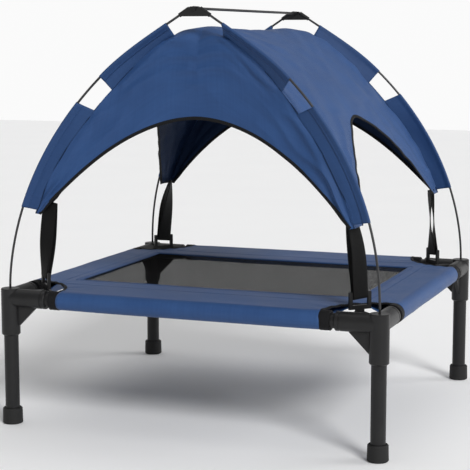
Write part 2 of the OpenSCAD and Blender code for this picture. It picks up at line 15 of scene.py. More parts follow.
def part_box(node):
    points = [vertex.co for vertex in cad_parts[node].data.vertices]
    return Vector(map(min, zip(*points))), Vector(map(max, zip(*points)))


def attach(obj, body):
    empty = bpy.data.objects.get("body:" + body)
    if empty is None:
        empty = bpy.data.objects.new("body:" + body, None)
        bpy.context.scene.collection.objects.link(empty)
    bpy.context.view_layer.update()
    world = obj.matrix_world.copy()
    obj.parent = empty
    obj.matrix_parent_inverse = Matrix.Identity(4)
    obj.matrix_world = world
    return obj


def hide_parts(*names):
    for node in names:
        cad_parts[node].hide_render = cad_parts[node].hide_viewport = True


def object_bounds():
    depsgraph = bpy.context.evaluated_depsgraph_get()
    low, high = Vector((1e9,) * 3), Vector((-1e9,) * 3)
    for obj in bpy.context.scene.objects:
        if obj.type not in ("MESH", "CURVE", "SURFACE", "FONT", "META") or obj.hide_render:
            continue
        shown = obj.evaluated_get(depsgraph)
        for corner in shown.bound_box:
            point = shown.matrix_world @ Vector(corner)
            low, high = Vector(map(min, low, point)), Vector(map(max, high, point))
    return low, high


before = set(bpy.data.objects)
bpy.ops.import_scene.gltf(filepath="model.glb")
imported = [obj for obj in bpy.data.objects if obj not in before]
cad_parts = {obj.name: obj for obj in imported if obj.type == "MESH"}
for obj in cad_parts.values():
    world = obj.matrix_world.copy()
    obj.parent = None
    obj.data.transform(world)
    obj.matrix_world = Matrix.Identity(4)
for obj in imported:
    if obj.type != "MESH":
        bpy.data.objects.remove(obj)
cad_low, cad_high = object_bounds()

CORNERS = {"fl": (-1, -1), "fr": (1, -1), "bl": (-1, 1), "br": (1, 1)}
MM = 0.001
UP = np.array([0.0, 0.0, 1.0])


# ---- camera -------------------------------------------------------------------------------

CAMERA_PLACE = (0.8021, -2.1730, 0.5875)
CAMERA_TARGET = Vector((-0.0248, 0.0, 0.2704))
CAMERA_LENS = 110.8        # in mm, on a sensor 36 mm wide


def make_camera():
    data = bpy.data.cameras.new("camera")
    data.lens = CAMERA_LENS
    data.sensor_width = 36
    data.clip_end = 20
    camera = bpy.data.objects.new("camera", data)
    bpy.context.scene.collection.objects.link(camera)
    camera.location = CAMERA_PLACE
    camera.rotation_euler = (CAMERA_TARGET - camera.location).to_track_quat("-Z", "Y").to_euler()
    bpy.context.scene.camera = camera


make_camera()


# ---- places taken from the frame ----------------------------------------------------------

def middle(node):
    low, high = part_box(node)
    return (low + high) / 2


HALF_W = middle("leg_tube_br").x
HALF_D = middle("leg_tube_br").y
RAIL_Z = middle("long_rail_front").z
DECK_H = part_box("corner_connector_br")[1].z
SLEEVE_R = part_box("mat_border")[1].z - RAIL_Z
CANOPY_TOP = cad_high.z
HOOK_MIDDLE = middle("strap_hook_br")


# ---- curves of the canopy, as in the frame ------------------------------------------------

def bezier(points, t):
    t = np.asarray(t, float)[..., None]
    a, b, c, d = (np.array(p, float) for p in points)
    s = 1 - t
    return s**3 * a + 3 * s * s * t * b + 3 * s * t * t * c + t**3 * d


HUB_ANGLE = math.radians(33)
HUB_MOUTH = np.array([22 * MM, CANOPY_TOP - 12 * MM])
HUB_PULL = 45 * MM
SHOULDER = [138 * MM, 539 * MM]
POLE_LOW = [[HALF_W, DECK_H], [HALF_W, DECK_H + 124 * MM], [232 * MM, 452 * MM], SHOULDER]
POLE_HIGH = [
    SHOULDER,
    [105 * MM, 569.5 * MM],
    HUB_MOUTH + HUB_PULL * np.array([math.cos(HUB_ANGLE), -math.sin(HUB_ANGLE)]),
    HUB_MOUTH,
]
HUB_Y = 228.3 * MM
LEAN_RUN = 30 * MM


def lean_of(z):
    return np.sqrt((z - DECK_H) ** 2 + LEAN_RUN**2) - LEAN_RUN


def arch_y(z):
    """Depth of a pole arch's plane at height z, in the back half."""
    return HALF_D - (HALF_D - HUB_Y) * lean_of(z) / lean_of(HUB_MOUTH[1])


def pole_pt(u):
    """Point of the back right pole: u runs from 0 at the connector to 2 at the hub."""
    u = np.asarray(u, float)
    low = bezier(POLE_LOW, np.clip(u, 0, 1))
    high = bezier(POLE_HIGH, np.clip(u - 1, 0, 1))
    p = np.where((u < 1)[..., None], low, high)
    return np.stack([p[..., 0], arch_y(p[..., 1]), p[..., 1]], -1)


U_TABLE = np.linspace(0, 2, 1601)
Z_TABLE = pole_pt(U_TABLE)[:, 2]


def pole_at(z):
    return pole_pt(np.interp(z, Z_TABLE, U_TABLE))


RIDGE_H = 600 * MM
TIP_H = 325 * MM
SEAM_LINE = [[0, RIDGE_H], [71 * MM, RIDGE_H], [216 * MM, 434 * MM], [250 * MM, TIP_H]]
SEAM_LOW_INSET = 1 * MM
SEAM_TOP_INSET = 13 * MM
INSET_Z = (420 * MM, 530 * MM)
SIDE_REACH = 0.848
SIDE_ARCH_H = 466 * MM
SIDE_CURVE = 1.65
FRONT_ARCH_H = 470 * MM
FRONT_CURVE = 1.9
ARCH_HALF_W = 242 * MM
ARCH_HOLLOW = 13 * MM
VAULT_BULGE = 6 * MM
VAULT_SAG = 6 * MM
BEND_HALF_W = 0.22
CREASE = 0.04
ROOF_BEND = 0.24
WALL_BEND = 0.36


def seam_y(z):
    share = np.clip((z - INSET_Z[0]) / (INSET_Z[1] - INSET_Z[0]), 0, 1)
    return arch_y(z) - SEAM_LOW_INSET - (SEAM_TOP_INSET - SEAM_LOW_INSET) * share


Q_TABLE = np.linspace(1, 0, 801)
SEAM_Z_TABLE = bezier(SEAM_LINE, Q_TABLE)[:, 1]


def vault_pt(q, s):
    """Roof of the dome: q from the ridge down to the corner tip, s from the middle to the seam."""
    p = bezier(SEAM_LINE, q)
    return np.stack([
        p[..., 0] + VAULT_BULGE * (1 - s * s) * np.sin(np.pi * q),
        s * seam_y(p[..., 1]),
        p[..., 1] + VAULT_SAG * s * s * (1 - q),
    ], -1)


CROWNED_Z_TABLE = vault_pt(Q_TABLE, np.ones_like(Q_TABLE))[:, 2]


def seam_at(z):
    q = np.interp(z, CROWNED_Z_TABLE, Q_TABLE)
    return vault_pt(q, np.ones_like(q))


def side_limit(s):
    """How far down the seam line the roof reaches at depth s, where the side arch cuts it."""
    share = np.clip(s / SIDE_REACH, 0, 1)
    z = SIDE_ARCH_H - (SIDE_ARCH_H - TIP_H) * share**SIDE_CURVE
    return np.where(s >= SIDE_REACH, 1.0, np.interp(z, SEAM_Z_TABLE, Q_TABLE))


def wall_pt(t, w):
    """End wall: t from the middle to the corner, w from the arch's edge to the seam."""
    z = FRONT_ARCH_H - (FRONT_ARCH_H - TIP_H + MM) * t**FRONT_CURVE
    edge = np.stack([ARCH_HALF_W * t, seam_y(z) - ARCH_HOLLOW * (1 - t**4), z], -1)
    w = np.asarray(w)[..., None]
    return (1 - w) * edge + w * vault_pt(t, np.ones_like(t))


def bend_size(t):
    """Share of the bend's full size: 1 in the middle of the dome, shrinking to a crease at BEND_HALF_W."""
    return np.maximum(CREASE, 1 - t / BEND_HALF_W)


def dome_pt(r, t):
    """Quarter of the dome: r from 0 at the middle through the roof (to 1), the bend where it
    turns down (to 2) and the end wall (to 3, the arch's edge); t from the ridge to the side."""
    roof_end = 1 - ROOF_BEND * bend_size(t)
    wall_end = 1 - WALL_BEND * bend_size(t)
    s = roof_end * np.clip(r, 0, 1)
    roof = vault_pt(t * side_limit(s), s)
    k = np.clip(r - 1, 0, 1)[..., None]
    one = np.ones_like(t)
    bend = (1 - k) ** 2 * vault_pt(t, roof_end) + 2 * (1 - k) * k * vault_pt(t, one)
    bend = bend + k**2 * wall_pt(t, wall_end)
    wall = wall_pt(t, wall_end * (1 - np.clip(r - 2, 0, 1)))
    return np.where((r <= 1)[..., None], roof, np.where((r <= 2)[..., None], bend, wall))


# ---- mesh helpers -------------------------------------------------------------------------

def unit(v):
    return v / np.maximum(np.linalg.norm(v, axis=-1, keepdims=True), 1e-12)


def new_object(name, vertices, faces, cloth=None):
    """Mesh object; cloth gives each vertex its place on the flat cloth, which the weave follows."""
    mesh = bpy.data.meshes.new(name)
    mesh.from_pydata([tuple(v) for v in np.asarray(vertices, float)], [], faces)
    mesh.validate()
    mesh.update()
    mesh.polygons.foreach_set("use_smooth", [True] * len(mesh.polygons))
    if cloth is not None:
        flat = np.zeros((len(mesh.vertices), 3))
        flat[:, :2] = np.asarray(cloth, float).reshape(-1, 2)
        mesh.attributes.new("cloth", "FLOAT_VECTOR", "POINT").data.foreach_set("vector", flat.ravel())
    made = bpy.data.objects.new(name, mesh)
    bpy.context.scene.collection.objects.link(made)
    return made


def grid_faces(rows, cols, flip):
    step = -1 if flip else 1
    return [
        (i * cols + j, (i + 1) * cols + j, (i + 1) * cols + j + 1, i * cols + j + 1)[::step]
        for i in range(rows - 1) for j in range(cols - 1)
    ]


def arc_lengths(points, axis):
    """Running length along one axis of a grid of points."""
    step = np.linalg.norm(np.diff(points, axis=axis), axis=-1)
    start = np.zeros_like(np.take(step, [0], axis))
    return np.concatenate([start, np.cumsum(step, axis)], axis)


def cloth_coordinates(points):
    """Flat-cloth coordinates of a grid, measured along it both ways from its middle."""
    rows, cols = points.shape[:2]
    u = arc_lengths(points, 1)
    v = arc_lengths(points, 0)
    u = u - u[:, cols // 2][:, None]
    v = v - v[rows // 2][None]
    return np.stack([u, v], -1)


def grid_normals(points):
    a = np.gradient(points, axis=0)
    b = np.gradient(points, axis=1)
    return unit(np.cross(a, b))


def sheet_object(name, points, thickness, flip, offset=-1):
    """Cloth on a grid of points, given its thickness by Solidify."""
    faces = grid_faces(*points.shape[:2], flip)
    made = new_object(name, points.reshape(-1, 3), faces, cloth=cloth_coordinates(points))
    solidify = made.modifiers.new("thickness", "SOLIDIFY")
    solidify.thickness = thickness
    solidify.offset = offset
    return made


def sweep(name, path, section, side=None, closed=False):
    """Tube whose closed section (points across and up) is carried along a path. Across is side,
    made square to the path, or square to the path and to Y."""
    run = np.roll(path, -1, 0) - np.roll(path, 1, 0) if closed else np.gradient(path, axis=0)
    tangent = unit(run)
    if side is None:
        across = unit(np.cross(tangent, [0, 1, 0]))
    else:
        across = unit(side - np.sum(side * tangent, -1, keepdims=True) * tangent)
    up = np.cross(across, tangent)
    if section.ndim == 2:
        section = np.broadcast_to(section, (len(path), *section.shape))
    rings = path[:, None] + section[..., :1] * across[:, None] + section[..., 1:] * up[:, None]
    n, m = rings.shape[:2]
    faces = []
    for i in range(n if closed else n - 1):
        k = (i + 1) % n
        for j in range(m):
            faces.append((i * m + j, k * m + j, k * m + (j + 1) % m, i * m + (j + 1) % m))
    if not closed:
        faces.append(tuple(range(m)))
        faces.append(tuple((n - 1) * m + j for j in range(m))[::-1])
    length = arc_lengths(path, 0)
    around = arc_lengths(np.concatenate([section[0], section[0][:1]]), 0)[:-1]
    cloth = np.stack(np.broadcast_arrays(around[None], length[:, None]), -1)
    return new_object(name, rings.reshape(-1, 3), faces, cloth=cloth)


def circle(radius):
    angle = np.linspace(0, 2 * np.pi, 16, endpoint=False)
    return np.stack([np.cos(angle), np.sin(angle)], -1) * radius


def rounded_bar(width, thickness):
    """Section of a flat strap with round edges, its width across."""
    r = thickness / 2
    turn = np.linspace(-np.pi / 2, np.pi / 2, 5)
    right = np.stack([width / 2 - r + r * np.cos(turn), r * np.sin(turn)], -1)
    top = np.stack([np.linspace(width / 2 - r, r - width / 2, 8)[1:-1], np.full(6, r)], -1)
    return np.concatenate([right, top, -right, -top])


def between(points, marks, mark):
    """Point of a line where its marks, which rise along it, reach a given mark."""
    return np.stack([np.interp(mark, marks, points[:, k]) for k in range(3)], -1)


def resample(path):
    """The same path with its points 2 mm apart."""
    path = np.asarray(path, float)
    along = arc_lengths(path, 0)
    return between(path, along, np.linspace(0, along[-1], max(2, round(along[-1] / (2 * MM)) + 1)))


def smooth_path(points):
    """Catmull-Rom curve through a few points, sampled evenly."""
    p = np.asarray(points, float)
    p = np.concatenate([[2 * p[0] - p[1]], p, [2 * p[-1] - p[-2]]])
    out = []
    for a, b, c, d in zip(p, p[1:], p[2:], p[3:]):
        t = np.linspace(0, 1, 24, endpoint=False)[:, None]
        out.append(0.5 * (2 * b + (c - a) * t + (2 * a - 5 * b + 4 * c - d) * t**2
                          + (3 * b - a - 3 * c + d) * t**3))
    out.append(p[-2][None])
    return resample(np.concatenate(out))


def mirrored(points, sx, sy):
    return np.asarray(points) * np.array([sx, sy, 1])


def noise_at(points, scale, seed):
    """Smooth noise from -1 to 1 at each point."""
    flat = np.asarray(points, float).reshape(-1, 3) / scale
    values = [noise.noise(Vector((x + seed, y - seed, z + 2 * seed))) for x, y, z in flat]
    return np.array(values).reshape(np.asarray(points).shape[:-1])


def joined(name, objects):
    """One object out of several."""
    for o in bpy.context.selected_objects:
        o.select_set(False)
    for o in objects:
        o.select_set(True)
    bpy.context.view_layer.objects.active = objects[0]
    bpy.ops.object.join()
    objects[0].name = name
    objects[0].data.name = name
    return objects[0]


STITCH_PITCH = 3.4 * MM
STITCH_L = 2.4 * MM
THREAD_R = 0.28 * MM


def stitches(name, lines):
    """Rows of sewing thread: lines is a list of (path, normals) that the thread lies on."""
    vertices, faces = [], []
    sides = 5
    profile = [(-0.5, 0.35), (-0.3, 1.0), (0.3, 1.0), (0.5, 0.35)]
    for path, normals in lines:
        along = arc_lengths(path, 0)
        for k in range(int(along[-1] / STITCH_PITCH)):
            at = (k + 0.5) * STITCH_PITCH
            p = between(path, along, at)
            n = unit(between(normals, along, at))
            t = unit(between(path, along, at + 0.1 * MM) - p)
            b = unit(np.cross(t, n))
            start = len(vertices)
            for s, r in profile:
                for j in range(sides):
                    a = 2 * np.pi * j / sides
                    lift = (np.cos(a) * r + 0.55 * r) * THREAD_R
                    vertices.append(p + s * STITCH_L * t + lift * n + np.sin(a) * r * THREAD_R * b)
            for i in range(len(profile) - 1):
                for j in range(sides):
                    m = (j + 1) % sides
                    a = start + i * sides
                    faces.append((a + j, a + m, a + sides + m, a + sides + j))
            faces.append(tuple(start + j for j in range(sides))[::-1])
            last = start + (len(profile) - 1) * sides
            faces.append(tuple(last + j for j in range(sides)))
    return new_object(name, vertices, faces)


# ---- materials ----------------------------------------------------------------------------

class Nodes:
    """Short way to build one material's node tree."""

    def __init__(self, name):
        self.material = bpy.data.materials.new(name)
        self.material.use_nodes = True
        self.tree = self.material.node_tree
        self.shader = self.tree.nodes["Principled BSDF"]

    def set(self, name, value):
        self.shader.inputs[name].default_value = value

    def add(self, kind, inputs=None, **settings):
        node = self.tree.nodes.new("ShaderNode" + kind)
        for key, value in settings.items():
            setattr(node, key, value)
        for key, value in (inputs or {}).items():
            if isinstance(value, bpy.types.NodeSocket):
                self.tree.links.new(value, node.inputs[key])
            else:
                node.inputs[key].default_value = value
        return node

    def math(self, operation, a, b=0.0):
        return self.add("Math", {0: a, 1: b}, operation=operation).outputs[0]

    def link(self, output, name):
        self.tree.links.new(output, self.shader.inputs[name])

    def object_place(self):
        return self.add("TexCoord").outputs["Object"]

    def cloth_place(self):
        return self.add("Attribute", attribute_name="cloth").outputs["Vector"]

    def noise(self, place, scale, detail=3.0):
        inputs = {"Vector": place, "Scale": scale, "Detail": detail, "Roughness": 0.55}
        return self.add("TexNoise", inputs).outputs["Fac"]

    def span(self, value, low, high, to_low, to_high):
        inputs = {"Value": value, "From Min": low, "From Max": high, "To Min": to_low, "To Max": to_high}
        return self.add("MapRange", inputs).outputs["Result"]

    def blend(self, share, a, b):
        node = self.add("Mix", data_type="RGBA")
        for key, value in ((0, share), (6, a), (7, b)):
            if isinstance(value, bpy.types.NodeSocket):
                self.tree.links.new(value, node.inputs[key])
            else:
                node.inputs[key].default_value = value if key == 0 else (*value, 1)
        return node.outputs[2]

    def bump(self, height, distance, strength, under=None):
        inputs = {"Height": height, "Distance": distance, "Strength": strength}
        if under is not None:
            inputs["Normal"] = under
        return self.add("Bump", inputs).outputs["Normal"]


def weave(n, place, pitch):
    """Plain weave: (height from 0 to 1, 1 where a warp thread is on top), threads pitch apart."""
    scaled = n.add("VectorMath", {0: place, 3: 1 / pitch}, operation="SCALE").outputs[0]
    parts = n.add("SeparateXYZ", {0: scaled})
    x, y = parts.outputs[:2]
    across, along = (n.math("ABSOLUTE", n.math("SINE", n.math("MULTIPLY", v, math.pi))) for v in (x, y))
    both = n.math("ADD", n.math("FLOOR", x), n.math("FLOOR", y))
    odd = n.math("ABSOLUTE", n.math("MODULO", both, 2.0))
    warp = n.math("MULTIPLY", n.math("MULTIPLY", across, n.math("SQRT", along)), odd)
    even = n.math("SUBTRACT", 1.0, odd)
    weft = n.math("MULTIPLY", n.math("MULTIPLY", along, n.math("SQRT", across)), even)
    return n.math("ADD", warp, weft), odd


def fabric_material(name, dark, light, pitch, roughness=0.58, sheen=0.06, specular=0.3):
    """Coated polyester: a fine weave, faint shade bars along the threads and broad mottling."""
    n = Nodes(name)
    place = n.cloth_place()
    height, warp_up = weave(n, place, pitch)
    bars = [
        n.noise(n.add("Mapping", {"Vector": place, "Scale": (*scale, 1)}).outputs[0], 1.0)
        for scale in ((260, 9), (9, 260))
    ]
    slub = n.math("MULTIPLY", n.math("ADD", *bars), 0.5)
    broad = n.noise(n.object_place(), 14.0, detail=4.0)
    shade = n.span(n.math("ADD", slub, broad), 0.7, 1.3, 0.0, 1.0)
    colour = n.blend(shade, dark, light)
    colour = n.blend(n.math("MULTIPLY", warp_up, 0.10), colour, light)
    # painted shade: the colour is darkened towards the dark tone in the low gaps between the threads
    painted_gap_shade = n.span(height, 0.0, 0.45, 0.22, 0.0)
    colour = n.blend(painted_gap_shade, colour, dark)
    n.link(colour, "Base Color")
    n.link(n.span(broad, 0.35, 0.65, roughness - 0.05, roughness + 0.06), "Roughness")
    rough = n.bump(n.noise(n.object_place(), 60.0), 0.0006, 0.25)
    n.link(n.bump(height, 0.00012, 0.6, rough), "Normal")
    n.set("Sheen Weight", sheen)
    n.set("Sheen Roughness", 0.4)
    n.set("Specular IOR Level", specular)
    return n.material


def mesh_material(name):
    """Open polyester mesh: round black threads with small holes between them."""
    n = Nodes(name)
    place = n.cloth_place()
    height, warp_up = weave(n, place, 1.5 * MM)
    holes = n.span(height, 0.035, 0.21, 0.2, 1.0)
    n.link(n.blend(warp_up, (0.006, 0.006, 0.0062), (0.010, 0.010, 0.0105)), "Base Color")
    n.set("Specular IOR Level", 0.0)
    n.link(holes, "Alpha")
    n.link(n.bump(height, 0.0003, 0.7), "Normal")
    n.link(n.span(n.noise(n.object_place(), 40.0), 0.3, 0.7, 0.55, 0.68), "Roughness")
    return n.material


def webbing_material(name, dark, light, pitch):
    """Black webbing or tape: a plain weave with slightly uneven threads."""
    n = Nodes(name)
    place = n.cloth_place()
    height, warp_up = weave(n, place, pitch)
    # painted shade and highlight: the colour follows the weave's height, darker in the hollows between the
    # threads and lighter on their crowns
    n.link(n.blend(n.math("MULTIPLY", height, 0.7), dark, light), "Base Color")
    n.link(n.span(warp_up, 0.0, 1.0, 0.52, 0.65), "Roughness")
    rough = n.bump(n.noise(n.object_place(), 400.0), 0.0002, 0.3)
    n.link(n.bump(height, 0.00035, 0.8, rough), "Normal")
    n.set("Sheen Weight", 0.01)
    n.set("Specular IOR Level", 0.1)
    return n.material


def plastic_material(name, dark, light, roughness, grain=0.00008, specular=0.25):
    """Moulded plastic, rubber or thread: a fine grain and slight changes of shade."""
    n = Nodes(name)
    place = n.object_place()
    broad = n.noise(place, 22.0, detail=5.0)
    fine = n.noise(place, 900.0, detail=2.0)
    n.link(n.blend(n.span(broad, 0.3, 0.7, 0.0, 1.0), dark, light), "Base Color")
    n.link(n.span(broad, 0.3, 0.7, roughness - 0.05, roughness + 0.07), "Roughness")
    n.link(n.bump(fine, grain, 0.7), "Normal")
    n.set("Specular IOR Level", specular)
    return n.material


def tube_material(name):
    """Black powder coat: slight orange peel and slight changes of shade."""
    n = Nodes(name)
    place = n.object_place()
    peel = n.noise(place, 420.0, detail=2.0)
    broad = n.noise(place, 30.0, detail=4.0)
    n.link(n.blend(n.span(broad, 0.3, 0.7, 0.0, 1.0), (0.009, 0.009, 0.0095), (0.014, 0.014, 0.0145)),
           "Base Color")
    n.link(n.span(broad, 0.3, 0.7, 0.36, 0.47), "Roughness")
    n.link(n.bump(peel, 0.0001, 0.5), "Normal")
    n.set("Specular IOR Level", 0.3)
    return n.material


def rod_material(name):
    """Pultruded glass fibre: black with fine streaks along the rod."""
    n = Nodes(name)
    streak = n.add("Mapping", {"Vector": n.cloth_place(), "Scale": (900.0, 25.0, 1.0)}).outputs[0]
    fibre = n.noise(streak, 1.0, detail=2.0)
    n.link(n.blend(fibre, (0.010, 0.010, 0.011), (0.028, 0.028, 0.030)), "Base Color")
    n.link(n.span(fibre, 0.3, 0.7, 0.28, 0.42), "Roughness")
    n.link(n.bump(fibre, 0.00006, 0.5), "Normal")
    return n.material


canopy_fabric = fabric_material("canopy_fabric", (0.0155, 0.053, 0.162), (0.024, 0.073, 0.208), 0.8 * MM)
# painted shade: the fins' cloth is the canopy's cloth darkened to about four fifths, so that the fins look
# turned away from the light
shaded_fin_fabric = fabric_material("shaded_fin_fabric", (0.0125, 0.043, 0.133), (0.019, 0.060, 0.172), 0.8 * MM)
canopy_lining = fabric_material("canopy_lining", (0.008, 0.018, 0.048), (0.013, 0.028, 0.070), 0.8 * MM,
                                0.6, sheen=0.0, specular=0.08)
mat_fabric = fabric_material("mat_fabric", (0.017, 0.056, 0.170), (0.027, 0.078, 0.215), 1.0 * MM,
                             0.56, sheen=0.08)
mesh_fabric = mesh_material("mesh_fabric")
binding_fabric = webbing_material("binding_tape", (0.007, 0.007, 0.008), (0.018, 0.018, 0.019), 0.9 * MM)
strap_fabric = webbing_material("strap_webbing", (0.004, 0.004, 0.004), (0.012, 0.012, 0.0125), 1.4 * MM)
blue_thread = plastic_material("blue_thread", (0.020, 0.060, 0.175), (0.028, 0.076, 0.215), 0.6)
black_thread = plastic_material("black_thread", (0.010, 0.010, 0.010), (0.025, 0.025, 0.026), 0.6)
frame_plastic = plastic_material("moulded_plastic", (0.010, 0.010, 0.0105), (0.015, 0.015, 0.0155), 0.36,
                                 specular=0.3)
hook_plastic = plastic_material("hook_plastic", (0.009, 0.009, 0.009), (0.014, 0.014, 0.0145), 0.36)
foot_rubber = plastic_material("foot_rubber", (0.013, 0.013, 0.013), (0.018, 0.018, 0.018), 0.62, 0.00015)
tube_coat = tube_material("tube_coat")
pole_fibre = rod_material("pole_fibre")


def finish_with(piece, material, body, slot, *nodes):
    """Gives a piece its material and its body, and hides the CAD nodes that it stands for. The slot is not
    used.
    """
    piece.data.materials.clear()
    piece.data.materials.append(material)
    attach(piece, body)
    if nodes:
        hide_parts(*nodes)


def cut_size(points):
    """Width and length, and area, of the flat cloth that a grid of points was made from."""
    width = arc_lengths(points, 1)[:, -1].max()
    length = arc_lengths(points, 0)[-1].max()
    one = points[1:, 1:] - points[:-1, :-1]
    other = points[1:, :-1] - points[:-1, 1:]
    area = np.linalg.norm(np.cross(one, other), axis=-1).sum() / 2
    return (float(width), float(length)), float(area)


def bell(x, width):
    return np.exp(-((x / width) ** 2))


# ---- dome ---------------------------------------------------------------------------------

DOME_T = 0.6 * MM
ROOF_ROWS = 42
BEND_ROWS = 30
WALL_ROWS = 44
HALF_ROWS = ROOF_ROWS + BEND_ROWS + WALL_ROWS
HALF_COLS = 92
SEAM_ROW = ROOF_ROWS + BEND_ROWS // 2
UPPER_FIN = ((607 * MM, 530 * MM), (590 * MM, 511 * MM))       # heights on the pole, then on the seam
LOWER_FIN = ((491.5 * MM, 334 * MM), (480.5 * MM, 330 * MM))


def smooth_dome():
    """The dome before its folds: r, t and the points, rows front to back, columns left to right."""
    half = np.concatenate([
        np.linspace(0, 1, ROOF_ROWS, endpoint=False),
        np.linspace(1, 2, BEND_ROWS, endpoint=False),
        np.linspace(2, 3, WALL_ROWS + 1),
    ])
    rows = np.concatenate([-half[:0:-1], half])
    r, t = np.meshgrid(rows, np.linspace(-1, 1, 2 * HALF_COLS + 1), indexing="ij")
    sides = np.stack([np.sign(t), np.sign(r), np.ones_like(r)], -1)
    return r, t, dome_pt(np.abs(r), np.abs(t)) * sides


def crease(phase):
    """Wave from -1 to 1 with broad hollows and narrower ridges, as in pulled cloth."""
    return 1 - 2 * np.abs(np.sin(phase / 2)) ** 1.2


def dome_folds(r, t, points):
    """How far the cloth stands out from the smooth dome. Each kind of fold is a height, times the
    places that have it, times its shape."""
    x, y, z = np.abs(np.moveaxis(points, -1, 0))
    seam = seam_at(z)
    off_seam = np.maximum(np.abs(seam[..., 0] - x), np.abs(seam[..., 1] - y))
    above_tip = z - TIP_H
    run = arc_lengths(points, 0)
    run = np.abs(run - run[HALF_ROWS])
    uneven = noise_at(points, 60 * MM, 5.0)
    folds = 2.0 * MM * noise_at(points, 130 * MM, 3.1) + 0.9 * MM * noise_at(points, 48 * MM, 8.4)

    # level wrinkles where the end walls turn into the roof
    level = bell(t, 0.40) * bell(np.abs(r) - 2.0, 0.42)
    bowed = run - 16 * MM * t**2 + 6 * MM * uneven
    folds += 1.9 * MM * level * crease(2 * np.pi * bowed / (22 * MM))

    # long folds in the end walls beside the upper fins, stronger on the right
    beside = bell(off_seam - 24 * MM, 15 * MM) * bell(z - 550 * MM, 42 * MM)
    beside = beside * np.clip(np.abs(r) - 1.4, 0, 1) * (0.55 + 0.45 * np.sign(t))
    folds += 1.1 * MM * beside * crease(2 * np.pi * (off_seam + 6 * MM * uneven) / (18 * MM))

    # slanting pulls over the roof, from the fins' upper ends towards its sides
    slant = np.stack([0.9 * x + 0.5 * y, 0.22 * (y - x), 0.9 * z], -1)
    folds += 2.6 * MM * bell(np.abs(r) - 0.6, 0.6) * noise_at(slant, 21 * MM, 1.3)

    # folds that fan out from the corner tips
    fan = np.arctan2(off_seam, above_tip + 12 * MM)
    pulled = np.exp(-above_tip / (120 * MM)) * np.clip(above_tip / (10 * MM), 0, 1)
    off_edge = np.minimum((1 - np.abs(t)) / 0.12, (3 - np.abs(r)) / 0.35)
    folds += 2.9 * MM * pulled * crease(23 * fan + 3 * uneven) * (0.35 + 0.65 * np.clip(off_edge, 0, 1))

    # the seam is pulled tight along each fin, between two puffs, and dips at the fins' ends
    held = bell(off_seam, 9 * MM)
    for fin in (UPPER_FIN, LOWER_FIN):
        along_fin = np.clip((fin[1][0] - z) / (6 * MM), 0, 1) * np.clip((z - fin[1][1]) / (6 * MM), 0, 1)
        folds += 2.4 * MM * along_fin * bell(off_seam - 12 * MM, 7 * MM)
        folds -= 1.8 * MM * along_fin * bell(off_seam, 5 * MM)
        for end in fin[1]:
            folds -= 1.6 * MM * bell(np.hypot(off_seam, z - end), 14 * MM)
            folds += 0.9 * MM * bell(off_seam - 24 * MM, 13 * MM) * bell(z - end, 8 * MM)
    return folds * (1 - 0.4 * held)


dome_r, dome_t, dome_points = smooth_dome()
dome_points = dome_points - dome_folds(dome_r, dome_t, dome_points)[..., None] * grid_normals(dome_points)
dome_normals = -grid_normals(dome_points)


def seam_on_dome(sx, sy, z):
    """Place of the seam at height z on the folded dome, in quarter (sx, sy)."""
    cols = slice(HALF_COLS, None) if sx > 0 else slice(HALF_COLS, None, -1)
    points = dome_points[HALF_ROWS + sy * SEAM_ROW, cols][::-1]
    return between(points, points[:, 2], z)


def make_dome():
    dome = sheet_object("canopy_dome", dome_points, DOME_T, flip=True)
    finish_with(dome, canopy_fabric, "canopy", "canopy_fabric", "canopy_cover")
    dome.data.materials.append(canopy_lining)
    dome.modifiers["thickness"].material_offset = 1
    flat, area = cut_size(dome_points)
    seam_start = round(0.26 * HALF_COLS)
    lines = []
    for beyond in (ROOF_ROWS + BEND_ROWS + 1, ROOF_ROWS - 1):
        for row in (HALF_ROWS - beyond, HALF_ROWS + beyond):
            for cols in (slice(0, HALF_COLS - seam_start), slice(HALF_COLS + seam_start, None)):
                lines.append((dome_points[row, cols], dome_normals[row, cols]))
    thread = stitches("dome_stitches", lines)
    finish_with(thread, blue_thread, "canopy", "canopy_fabric")


make_dome()


# ---- bindings along the arches ------------------------------------------------------------

TAPE_W = 5.2 * MM
TAPE_T = 2.0 * MM
TAPE_OVER = 1.2 * MM       # how far the tape stands out beyond the cloth's edge


def bind_edge(arch, edge, inner, normals):
    """Folded tape over an edge of the dome, with a row of stitches along it."""
    tangent = unit(np.gradient(edge, axis=0))
    out = edge - inner
    out = unit(out - np.sum(out * tangent, -1, keepdims=True) * tangent)
    middle_line = edge + (TAPE_OVER - TAPE_W / 2) * out - normals * DOME_T / 2
    fat = 1 + 0.12 * noise_at(edge, 14 * MM, 6.2)[:, None, None]
    section = rounded_bar(TAPE_W, TAPE_T)[None] * np.concatenate([np.ones_like(fat), fat], -1)
    tape = sweep("arch_tape_" + arch, middle_line, section, side=out)
    seam = middle_line - out * TAPE_W * 0.22
    thread = stitches(f"arch_tape_{arch}_thread", [(seam + normals * TAPE_T / 2, normals)])
    finish_with(thread, black_thread, "canopy", "binding_tape")
    finish_with(tape, binding_fabric, "canopy", "binding_tape", "arch_binding_" + arch)


def make_arch_bindings():
    """Each tape follows the dome's outermost line of points; the line two further in shows which way
    the cloth runs."""
    first = WALL_ROWS + BEND_ROWS + round(0.14 * ROOF_ROWS)
    rows = slice(first, 2 * HALF_ROWS + 1 - first)
    for arch, edge, inner in (
        ("front", 0, 2), ("back", -1, -3), ("left", (rows, 0), (rows, 2)), ("right", (rows, -1), (rows, -3)),
    ):
        bind_edge(arch, dome_points[edge], dome_points[inner], dome_normals[edge])


make_arch_bindings()


# ---- poles and fins -----------------------------------------------------------------------

POLE_R = 1.75 * MM
POLE_START = DECK_H + 3 * MM
HUB_DEPTH = 13 * MM
FIN_T = 0.5 * MM
FIN_ROWS = 46
CHANNEL_R = POLE_R + 0.25 * MM + FIN_T / 2
HEM_SEAM = 7 * MM          # from the pole to the channel's stitches
HEM_EDGE = 9.5 * MM        # and to the cloth's turned-in edge
LAYER_GAP = 0.28 * MM      # half the distance between the two layers at the stitches


